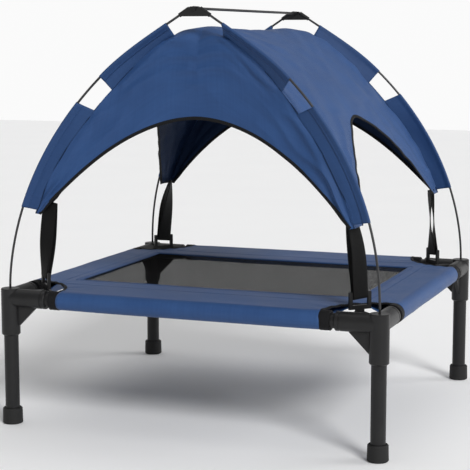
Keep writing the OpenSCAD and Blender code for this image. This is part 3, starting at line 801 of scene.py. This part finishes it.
def make_pole(corner):
    sx, sy = CORNERS[corner]
    u = np.linspace(np.interp(POLE_START, Z_TABLE, U_TABLE), 2, 170)
    path = pole_pt(u)
    end = path[-1] + unit(path[-1] - path[-2]) * HUB_DEPTH
    pole = sweep("flex_pole_" + corner, mirrored(np.concatenate([path, [end]]), sx, sy), circle(POLE_R))
    finish_with(pole, pole_fibre, "canopy", "pole_fibreglass", "pole_" + corner)


def fin_points(sx, sy, heights):
    """Grid of a fin: rows down the pole, columns from the seam round the pole and back to the hem.
    Also the two rows of stitches, along the channel and along the seam, as (path, normals)."""
    share = np.linspace(0, 1, FIN_ROWS)
    (pole_top, pole_foot), (seam_top, seam_foot) = heights
    pole_z = pole_top + share * (pole_foot - pole_top)
    at_pole = mirrored(pole_at(pole_z), sx, sy)
    down = unit(mirrored(pole_at(pole_z - MM), sx, sy) - at_pole)
    at_seam = seam_on_dome(sx, sy, seam_top + share * (seam_foot - seam_top))
    reach = at_seam - at_pole
    along_pole = np.sum(reach * down, -1)
    across = reach - along_pole[:, None] * down
    width = np.linalg.norm(across, axis=-1)
    a = unit(across)
    b = -unit(np.cross(down, a)) * sx * sy

    def place(distance, side, share_out):
        """Point at a distance from the pole towards the seam, and beside the fin's plane."""
        slide = along_pole * share_out
        return at_pole + distance[:, None] * a + side * b + slide[:, None] * down

    one = np.ones(FIN_ROWS)
    rim = 0.9 * MM         # how far the fin's root goes into the seam
    root = width + rim
    columns = []
    for k in np.linspace(0, 1, 16):
        distance = root + (HEM_SEAM - root) * k
        belly = -1.0 * MM * np.sin(np.pi * k) * np.sin(np.pi * share) * (0.6 + 0.4 * np.cos(9 * share + sx))
        columns.append(place(distance, 0, distance / width) + (LAYER_GAP + belly)[:, None] * b)
    neck = ((4.6 * MM, 0.9 * MM), (2.6 * MM, 1.7 * MM))
    for distance, lift in neck:
        columns.append(place(distance * one, lift, distance / width))
    for turn in np.radians([65, 90, 120, 150, 180, 210, 240, 270, 295]):
        columns.append(place(CHANNEL_R * math.cos(turn) * one, CHANNEL_R * math.sin(turn), 0 * one))
    for distance, lift in (*neck[::-1], (HEM_SEAM, LAYER_GAP), (HEM_EDGE, LAYER_GAP)):
        columns.append(place(distance * one, -lift, distance / width))
    points = np.stack(columns, 1)
    channel = place(HEM_SEAM * one, -LAYER_GAP - FIN_T / 2, HEM_SEAM / width)
    seam = place(width - 3 * MM, LAYER_GAP - FIN_T / 2, (width - 3 * MM) / width)
    return points, [(channel, -b), (seam, -b)]


def make_fin(part, corner, heights):
    sx, sy = CORNERS[corner]
    points, lines = fin_points(sx, sy, heights)
    fin = sheet_object(part + "_wing_" + corner, points, FIN_T, flip=sx * sy < 0, offset=0)
    finish_with(fin, shaded_fin_fabric, "canopy", "canopy_fabric", f"{part}_fin_{corner}")
    thread = stitches(f"{part}_wing_thread_{corner}", lines)
    finish_with(thread, blue_thread, "canopy", "canopy_fabric")
    flat, area = cut_size(points)


for corner in CORNERS:
    make_pole(corner)
    make_fin("upper", corner, UPPER_FIN)
    make_fin("lower", corner, LOWER_FIN)


# ---- straps -------------------------------------------------------------------------------

STRAP_W = 24 * MM
STRAP_T = 1.4 * MM
STRAP_GAP = 0.95 * MM      # half the distance between the two layers at the head
BAR_R = 2 * MM
STRAP_BAR = Vector((abs(HOOK_MIDDLE.x), abs(HOOK_MIDDLE.y), DECK_H + 15 * MM))
STRAP_WAIST = np.array([245.5, 229, 285]) * MM
STRAP_HEAD = np.array([240, 236, 331]) * MM
# each strap's own set: lean of its head and bulge of its layers in mm, twist half way and at the head
STRAP_SETS = {
    "fl": ((-7, 2, 10), 3.2, (-40, -40)),
    "fr": ((0, 0, 0), 4.2, (5, 24)),
    "bl": ((0, 0, 0), 3.8, (26, 66)),
    "br": ((2, 0, 0), 2.0, (34, 10)),
}


def make_strap(corner):
    """Doubled webbing from the hook's bar up into the dome's corner, bulging apart and twisted."""
    sx, sy = CORNERS[corner]
    foot = np.array(STRAP_BAR)
    lean, bulge, twists = STRAP_SETS[corner]
    lean = np.array(lean) * MM
    line = smooth_path([foot, STRAP_WAIST + lean / 2, STRAP_HEAD + lean])[::-1]
    share = np.linspace(1, 0, len(line))
    tangent = unit(np.gradient(line, axis=0))
    twist = np.radians(np.interp(share, (0, 0.5, 1), (0, *twists)))
    twist = np.convolve(np.pad(twist, 6, "edge"), np.ones(13) / 13, "valid")
    across = unit(np.cross(tangent, np.cross([1, -1, 0], tangent)))
    beside = np.cross(tangent, across)
    turned = across * np.cos(twist)[:, None] + beside * np.sin(twist)[:, None]
    out = np.cross(tangent, turned)
    loop_r = BAR_R + 0.5 * MM + STRAP_T / 2
    gap = STRAP_GAP + (loop_r - STRAP_GAP) * (1 - share) ** 6 + bulge * MM * np.sin(np.pi * share) ** 0.9
    down = line + gap[:, None] * out
    up = line - gap[:, None] * out
    turns = np.linspace(0, np.pi, 13)[1:-1, None]
    bottom = foot + loop_r * (np.cos(turns) * out[-1] + np.sin(turns) * tangent[-1])
    path = np.concatenate([down, bottom, up[::-1]])
    sides = np.concatenate([turned, np.repeat(turned[-1:], len(bottom), 0), turned[::-1]])
    strap = sweep("webbing_strap_" + corner, mirrored(path, sx, sy), rounded_bar(STRAP_W, STRAP_T),
                  side=mirrored(sides, sx, sy))
    finish_with(strap, strap_fabric, "canopy", "strap_webbing", "strap_" + corner)


for corner in CORNERS:
    make_strap(corner)


# ---- mat ----------------------------------------------------------------------------------

MAT_TOP = RAIL_Z + SLEEVE_R - 0.2 * MM
BORDER_T = 1.2 * MM
NOTCH_R = HALF_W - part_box("corner_binding_br")[0].x
MESH_LAP = 12 * MM
MESH_HALF_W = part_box("mesh_panel")[1].x - MESH_LAP
MESH_HALF_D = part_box("mesh_panel")[1].y - MESH_LAP
POCKET_FRONT = 72 * MM     # from the front and back rails' axes to their sleeves' seams
POCKET_SIDE = 42 * MM
MAT_SAG = 1 * MM
SEAM_DENT = 0.3 * MM
HEM_ROWS = (2.5 * MM, 7.5 * MM)       # rows of stitches, from the edge of the mesh opening
HEM_MIDDLE = 5 * MM
CORNER_RUN = 15 * MM       # share of the mesh opening's short side that belongs to each corner
CELL = 4 * MM


def sag(x, y):
    return MAT_SAG * (1 - (x / HALF_W) ** 2) * (1 - (y / HALF_D) ** 2)


def rumple(points):
    """Slight unevenness of the border's cloth, stronger beside the notches."""
    x, y, _ = np.moveaxis(points, -1, 0)
    off_notch = np.hypot(np.abs(x) - HALF_W, np.abs(y) - HALF_D) - NOTCH_R
    bearing = np.arctan2(np.abs(y) - HALF_D, np.abs(x) - HALF_W)
    puckers = np.sin(24 * bearing + 3 * noise_at(points, 50 * MM, 4))
    puckers = bell(np.maximum(off_notch, 0), 26 * MM) * puckers
    stretched = points * np.array([0.35, 1.0, 1.0])
    return (0.45 * noise_at(stretched, 38 * MM, 2.3) + 0.4 * puckers) * MM


def border_top(x, y):
    """Height of the border's upper face."""
    x, y = np.broadcast_arrays(np.asarray(x, float), np.asarray(y, float))
    points = np.stack([x, y, np.full(x.shape, MAT_TOP)], -1)
    ax, ay = np.abs(x), np.abs(y)
    seams = bell(ay - (HALF_D - POCKET_FRONT), 1.8 * MM) + bell(ax - (HALF_W - POCKET_SIDE), 1.8 * MM)
    hem = bell(ay - MESH_HALF_D - HEM_MIDDLE, 1.6 * MM) * (ax < MESH_HALF_W + 6 * MM)
    hem = hem + bell(ax - MESH_HALF_W - HEM_MIDDLE, 1.6 * MM) * (ay < MESH_HALF_D + 6 * MM)
    crown = 0.2 * MM * np.maximum(bell(ay - HALF_D, 8 * MM), bell(ax - HALF_W, 8 * MM))
    return MAT_TOP + crown - sag(x, y) + rumple(points) - SEAM_DENT * np.minimum(seams + hem, 1)


def notch_reach(offset):
    """Distance along a rail from the leg's axis to the notch, at an offset from the rail's axis."""
    return np.sqrt(NOTCH_R**2 - np.asarray(offset) ** 2)


def border_ring():
    """Top of the border: rows from the mesh opening out to the rails and notches, columns round it."""
    long_end = HALF_W - NOTCH_R
    short_end = HALF_D - NOTCH_R
    front = np.linspace(-1, 1, 2 * round(long_end / CELL) + 1)
    side = np.linspace(-1, 1, 2 * round(short_end / CELL) + 1)
    turn = np.linspace(0, 1, 36)
    bearing = np.pi / 2 * (1 + turn)
    arc = np.stack([HALF_W + NOTCH_R * np.cos(bearing), -HALF_D + NOTCH_R * np.sin(bearing)], -1)[::-1]
    run = np.array([MESH_HALF_W - long_end, CORNER_RUN])
    corner_path = turn * run.sum()
    inner_arc = np.stack([
        long_end + np.minimum(corner_path, run[0]),
        -MESH_HALF_D + np.maximum(corner_path - run[0], 0),
    ], -1)

    def all_round(half_w, half_d, corner, side_end):
        """Closed line of the front run, a corner, the right run, the next corner and their mirror."""
        half = np.concatenate([
            np.stack([front * long_end, np.full_like(front, -half_d)], -1), corner[1:-1],
            np.stack([np.full_like(side, half_w), side * side_end], -1), corner[-2:0:-1] * (1, -1),
        ])
        return np.concatenate([half, -half, half[:1]])

    outer = all_round(HALF_W, HALF_D, arc, short_end)
    inner = all_round(MESH_HALF_W, MESH_HALF_D, inner_arc, MESH_HALF_D - CORNER_RUN)
    share = np.linspace(0, 1, round((HALF_D - MESH_HALF_D) / (3 * MM)))[:, None, None]
    flat = inner + share * (outer - inner)
    return np.concatenate([flat, border_top(flat[..., 0], flat[..., 1])[..., None]], -1), flat


def sleeve_flap(half_length, depth, count):
    """Cloth from the top of a rail round its outer side and back to the pocket's seam, for a rail
    along X with the bed towards +Y: rows round the rail, columns along it, and the flat cloth."""
    seam_z = SLEEVE_R - 0.2 * MM - 1.4 * BORDER_T
    far = math.hypot(depth, seam_z)
    below = math.atan2(seam_z, depth) - math.acos(SLEEVE_R / far)
    angle = np.linspace(math.pi / 2, 2 * math.pi + below, 36)
    around = np.stack([np.cos(angle), np.sin(angle)], -1) * SLEEVE_R
    back = around[-1] + np.linspace(0, 1, max(8, round(depth / CELL)))[1:, None] * (
        np.array([depth, seam_z]) - around[-1])
    section = np.concatenate([around, back])
    normals = np.concatenate([around / SLEEVE_R, np.repeat(around[-1:] / SLEEVE_R, len(back), 0)])
    length = arc_lengths(section, 0)
    ends = half_length - notch_reach(section[:, 0])
    x = np.linspace(-1, 1, count)[None] * ends[:, None]
    points = np.stack(np.broadcast_arrays(x, section[:, :1], section[:, 1:]), -1)
    flat = np.stack(np.broadcast_arrays(x, -length[:, None]), -1)
    return points, np.broadcast_to(normals[:, None], (*x.shape, 2)), flat


def make_border():
    """The border as one piece, and the size and area of its flat cloth."""
    ring, ring_flat = border_ring()
    grids = [(ring, ring_flat, False)]
    area = cut_size(np.concatenate([ring_flat, np.zeros((*ring_flat.shape[:2], 1))], -1))[1]
    reach = {}
    for side, (half_length, half_across, depth) in {
        "front": (HALF_W, HALF_D, POCKET_FRONT), "right": (HALF_D, HALF_W, POCKET_SIDE)
    }.items():
        count = 2 * round((half_length - NOTCH_R) / CELL) + 1
        points, normals, flat = sleeve_flap(half_length, depth, count)
        points = points + np.array([0, -half_across, RAIL_Z])
        normals = np.concatenate([np.zeros((*normals.shape[:2], 1)), normals], -1)
        flat = flat + np.array([0, -half_across])
        reach[side] = half_across + cut_size(points)[0][1]
        area += 2 * cut_size(points)[1]
        for sign in (1, -1):
            spin = sign * np.array([[0, 1], [-1, 0]] if side == "right" else [[1, 0], [0, 1]])
            placed, pushed = points.copy(), normals.copy()
            placed[..., :2] = points[..., :2] @ spin
            pushed[..., :2] = normals[..., :2] @ spin
            placed = placed + rumple(placed)[..., None] * pushed
            grids.append((placed, flat @ spin, True))
    vertices, faces, cloth = [], [], []
    for grid, flat, flip in grids:
        start = len(vertices)
        vertices.extend(grid.reshape(-1, 3))
        cloth.extend(flat.reshape(-1, 2))
        faces.extend(tuple(start + k for k in f) for f in grid_faces(*grid.shape[:2], flip))
    border = new_object("mat_cover", vertices, faces, cloth=cloth)
    work = bmesh.new()
    work.from_mesh(border.data)
    bmesh.ops.remove_doubles(work, verts=work.verts, dist=0.02 * MM)
    bmesh.ops.recalc_face_normals(work, faces=work.faces)
    work.to_mesh(border.data)
    work.free()
    solidify = border.modifiers.new("thickness", "SOLIDIFY")
    solidify.thickness = BORDER_T
    solidify.offset = -1
    finish_with(border, mat_fabric, "bed", "mat_fabric", "mat_border")
    return border, (2 * reach["right"], 2 * reach["front"]), area


def seam_line(start, end):
    """Straight row of stitches on the border's top."""
    path = resample([start + (0,), end + (0,)])
    path[:, 2] = border_top(path[:, 0], path[:, 1])
    return path, np.broadcast_to(UP, path.shape)


def border_seams():
    """The pocket seams, and two rows of stitches round the mesh opening."""
    lines = []
    y = HALF_D - POCKET_FRONT
    x = HALF_W - POCKET_SIDE
    long_end = HALF_W - notch_reach(POCKET_FRONT) - 4 * MM
    short_end = HALF_D - notch_reach(POCKET_SIDE) - 4 * MM
    for s in (-1, 1):
        lines.append(seam_line((-long_end, s * y), (long_end, s * y)))
        lines.append(seam_line((s * x, -short_end), (s * x, short_end)))
        for row in HEM_ROWS:
            w, d = MESH_HALF_W + row, MESH_HALF_D + row
            lines.append(seam_line((-w, s * d), (w, s * d)))
            lines.append(seam_line((s * w, -d), (s * w, d)))
    return lines


def make_mesh():
    w, d = MESH_HALF_W + MESH_LAP - 1.5 * MM, MESH_HALF_D + MESH_LAP - 1.5 * MM
    x, y = np.meshgrid(np.linspace(-w, w, 115), np.linspace(-d, d, 79))
    z = MAT_TOP - BORDER_T - 0.8 * MM - sag(x, y)
    points = np.stack([x, y, z], -1)
    inside = np.clip((MESH_HALF_W - np.abs(x)) / (20 * MM), 0, 1)
    inside = inside * np.clip((MESH_HALF_D - np.abs(y)) / (20 * MM), 0, 1)
    points[..., 2] += 0.5 * MM * inside * noise_at(points, 70 * MM, 1.7)
    panel = new_object("mesh_centre", points.reshape(-1, 3), grid_faces(*x.shape, True),
                       cloth=np.stack([x, y], -1))
    finish_with(panel, mesh_fabric, "bed", "mesh_fabric", "mesh_panel")


mat_cover, mat_flat, mat_area = make_border()
mat_thread = stitches("mat_stitches", border_seams())
finish_with(mat_thread, blue_thread, "bed", "mat_fabric")
make_mesh()


# ---- tape at the mat's corners ------------------------------------------------------------

CUFF_R = 13.2 * MM         # middle of the cuff's cloth, from the rail's axis
CUFF_MIDDLE = NOTCH_R - 7.3 * MM
CORNER_TAPE_T = 2.3 * MM
CUFF_SECTION = np.array([
    (7.8, -0.6), (8.1, 0.1), (7.7, 0.8), (6.0, 1.2), (2.5, 1.0), (-1.5, 1.15), (-5.0, 1.0), (-7.2, 1.2),
    (-8.1, 0.4), (-8.2, -0.6), (-7.9, -1.9), (-6.6, -2.0), (-6.3, -1.0), (-3.0, -0.8), (2.0, -0.9),
    (5.0, -0.8),
]) * MM


def make_cuff(name, axis, leg, seed):
    """Bound end of a sleeve round its rail; axis points along the rail, away from the leg."""
    axis = np.array(axis, float)
    other = np.cross(UP, axis)
    angle = np.linspace(0, -2 * np.pi, 72, endpoint=False)[:, None]
    path = leg + CUFF_MIDDLE * axis + CUFF_R * (np.cos(angle) * other + np.sin(angle) * UP)
    flutter = noise_at(path, 9 * MM, seed)
    section = np.repeat(CUFF_SECTION[None], len(path), 0)
    section[..., 1] += 0.45 * MM * flutter[:, None] * bell(CUFF_SECTION[:, 0], 6 * MM)
    section[..., 0] += 0.5 * MM * noise_at(path, 14 * MM, seed + 4)[:, None]
    return sweep(name, path, section, closed=True, side=np.broadcast_to(axis, path.shape))


def make_corner_tape(corner):
    sx, sy = CORNERS[corner]
    leg = np.array([sx * HALF_W, sy * HALF_D, RAIL_Z])
    name = "corner_tape_" + corner
    parts = [make_cuff(name + "_x", (-sx, 0, 0), leg, 3.0), make_cuff(name + "_y", (0, -sy, 0), leg, 7.0)]
    bearing = np.linspace(0, np.pi / 2, 60)
    spoke = np.stack([-sx * np.cos(bearing), -sy * np.sin(bearing), 0 * bearing], -1)
    path = leg + (NOTCH_R - 1.2 * MM) * spoke
    edge = leg + (NOTCH_R + 1 * MM) * spoke
    path[:, 2] = border_top(edge[:, 0], edge[:, 1]) - BORDER_T / 2
    section = rounded_bar(TAPE_W, CORNER_TAPE_T)
    parts.append(sweep(name + "_arc", path, section, side=spoke))
    sewn = path + spoke * 1.4 * MM + UP * CORNER_TAPE_T / 2
    thread = stitches(name + "_thread", [(sewn, np.broadcast_to(UP, sewn.shape))])
    finish_with(thread, black_thread, "bed", "binding_tape")
    finish_with(joined(name, parts), binding_fabric, "bed", "binding_tape", "corner_binding_" + corner)


for corner in CORNERS:
    make_corner_tape(corner)


# ---- finishes of the frame's own parts ----------------------------------------------------

CAD_FINISHES = {
    "leg_tube": tube_coat, "long_rail": tube_coat, "short_rail": tube_coat, "ridge_bar": tube_coat,
    "pole_tip": tube_coat, "foot_cap": foot_rubber, "corner_connector": frame_plastic,
    "apex_hub": frame_plastic, "strap_hook": hook_plastic,
}

for node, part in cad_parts.items():
    for start, material in CAD_FINISHES.items():
        if node.startswith(start):
            part.data.materials.clear()
            part.data.materials.append(material)


# ---- floor and light ----------------------------------------------------------------------

def make_floor():
    n = Nodes("pale_floor")
    n.set("Roughness", 0.85)
    mottle = n.noise(n.object_place(), 3.0)
    n.link(n.blend(mottle, (0.89, 0.89, 0.895), (0.92, 0.92, 0.92)), "Base Color")
    bpy.ops.mesh.primitive_plane_add(size=14, location=(0, 0, -0.2 * MM))
    floor = bpy.context.object
    floor.name = "floor"
    floor.data.materials.append(n.material)


# range of height, or of turn to the front left, then the strength at its two ends
HEIGHT_FADE = (0.10, 0.25, 0.96, 0.30)
FRONT_LEFT_FADE = (0.15, 0.9, 1.0, 0.65)
# direction, strength and spread in degrees
SUNS = {
    "key": ((0.62, -0.60, 0.62), 2.1, 18),
    "right": ((0.95, 0.45, 0.5), 0.9, 30),
    "top": ((-0.15, 0.2, 1.0), 0.45, 50),
}


def make_suns():
    """Broad lights from far off, so that they fall evenly on the whole floor."""
    for name, (place, strength, spread) in SUNS.items():
        data = bpy.data.lights.new(name, "SUN")
        data.energy = strength
        data.angle = math.radians(spread)
        lamp = bpy.data.objects.new(name, data)
        bpy.context.scene.collection.objects.link(lamp)
        lamp.rotation_euler = (-Vector(place)).to_track_quat("-Z", "Y").to_euler()


def make_surroundings():
    """Pale world, bright up to just above the horizon and dimmer higher up and to the front left."""
    world = bpy.data.worlds.new("studio")
    world.use_nodes = True
    nodes, links = world.node_tree.nodes, world.node_tree.links
    around = nodes.new("ShaderNodeTexCoord").outputs["Generated"]
    height = nodes.new("ShaderNodeSeparateXYZ")
    links.new(around, height.inputs[0])
    front_left = nodes.new("ShaderNodeVectorMath")
    front_left.operation = "DOT_PRODUCT"
    links.new(around, front_left.inputs[0])
    front_left.inputs[1].default_value = (-0.8, -0.6, 0)
    both = nodes.new("ShaderNodeMath")
    both.operation = "MULTIPLY"
    for k, (value, steps) in enumerate((
        (height.outputs["Z"], HEIGHT_FADE), (front_left.outputs["Value"], FRONT_LEFT_FADE),
    )):
        fade = nodes.new("ShaderNodeMapRange")
        links.new(value, fade.inputs["Value"])
        for name, step in zip(("From Min", "From Max", "To Min", "To Max"), steps):
            fade.inputs[name].default_value = step
        links.new(fade.outputs["Result"], both.inputs[k])
    links.new(both.outputs[0], nodes["Background"].inputs["Strength"])
    nodes["Background"].inputs["Color"].default_value = (1, 1, 1, 1)
    bpy.context.scene.world = world


make_floor()
make_surroundings()
make_suns()
bpy.context.scene.view_settings.view_transform = "Standard"
